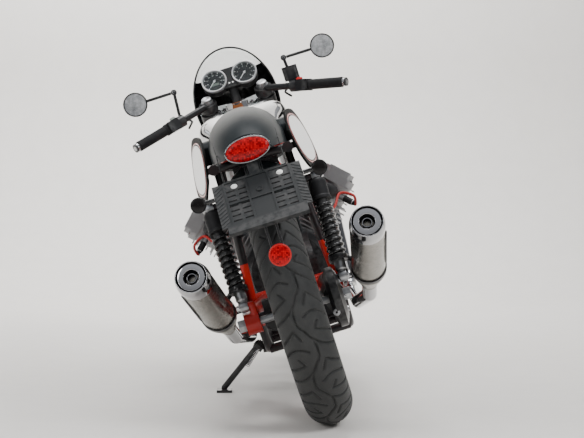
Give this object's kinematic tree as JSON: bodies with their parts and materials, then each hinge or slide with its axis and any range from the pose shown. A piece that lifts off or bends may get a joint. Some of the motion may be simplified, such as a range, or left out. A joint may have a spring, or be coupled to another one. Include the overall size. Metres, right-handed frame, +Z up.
{
  "type": "cafe racer motorcycle",
  "caption": "Naked cafe racer motorcycle with a transverse V-twin, spoked wheels, twin shocks, clip-on bars, humped tail and upswept silencers, leaning on its side stand.",
  "frame": {"origin": "bottom centre of the bounding box of the motorcycle as it leans on its side stand, on the ground", "axes": "+Z up, the front of the motorcycle faces -Y and its left side +X; it leans towards +X"},
  "size_m": [0.7971, 2.1878, 1.1126],
  "materials": {
    "tyre": "matte",
    "spoked_wheel": "satin",
    "disc_steel": "satin",
    "red_paint": "gloss",
    "black_metal": "satin",
    "engine_grey": "satin",
    "chrome": "polished",
    "stainless": "satin",
    "fork_alloy": "satin",
    "black_plastic": "satin",
    "graphite_paint": "satin",
    "white_panel": "gloss",
    "grip_rubber": "matte",
    "seat_suede": "matte",
    "red_lens": "gloss",
    "clear_screen": "gloss",
    "mirror_head": "gloss",
    "shock_metal": "satin"
  },
  "bodies": {
    "chassis": {"frame": "red_paint", "swingarm": "red_paint", "final_drive": "black_metal", "rear_axle": "stainless", "engine": "engine_grey", "cylinder_left": "engine_grey", "cylinder_right": "engine_grey", "intake": "black_plastic", "exhaust_pipes": "stainless", "silencer_left": "stainless", "silencer_right": "stainless", "fuel_tank": "chrome", "seat": "seat_suede", "tail_cowl": "graphite_paint", "number_panels": "white_panel", "tail_light": "red_lens", "rear_fender": "black_plastic", "plate_holder": "graphite_paint", "rear_signals": "black_plastic", "reflector": "red_lens", "shock_left": "shock_metal", "shock_right": "shock_metal", "rearset_left": "fork_alloy", "rearset_right": "fork_alloy", "stand_bracket": "black_metal", "rear_caliper": "black_metal"},
    "steering": {"fork": "fork_alloy", "yokes": "black_metal", "clip_ons": "black_metal", "grips": "grip_rubber", "controls_left": "black_metal", "controls_right": "black_metal", "mirror_left": "mirror_head", "mirror_right": "mirror_head", "gauges": "black_plastic", "headlight": "black_metal", "cowl": "black_plastic", "windscreen": "clear_screen", "front_fender": "graphite_paint", "front_caliper": "black_metal"},
    "front_wheel": {"front_tyre": "tyre", "front_wheel": "spoked_wheel", "front_disc": "disc_steel"},
    "rear_wheel": {"rear_tyre": "tyre", "rear_wheel": "spoked_wheel", "rear_disc": "disc_steel"},
    "side_stand": {"side_stand": "black_metal"}
  },
  "joints": [
    {"name": "steering_turn", "type": "hinge", "parent": "chassis", "child": "steering", "pos_m": [-0.01843, -0.44966, 0.75759], "axis": [0.266, 0.4664, 0.8436], "range_deg": [-32, 32]},
    {"name": "front_wheel_spin", "type": "hinge", "parent": "steering", "child": "front_wheel", "pos_m": [-0.16076, -0.758, 0.30617], "axis": [0.9537, 0, -0.3007], "continuous": true},
    {"name": "rear_wheel_spin", "type": "hinge", "parent": "chassis", "child": "rear_wheel", "pos_m": [-0.16012, 0.691, 0.3082], "axis": [0.9537, 0, -0.3007], "continuous": true},
    {"name": "side_stand_fold", "type": "hinge", "parent": "chassis", "child": "side_stand", "pos_m": [-0.04743, 0.131, 0.14684], "axis": [0.7885, -0.0176, 0.6147], "range_deg": [0, 101.2]}
  ]
}
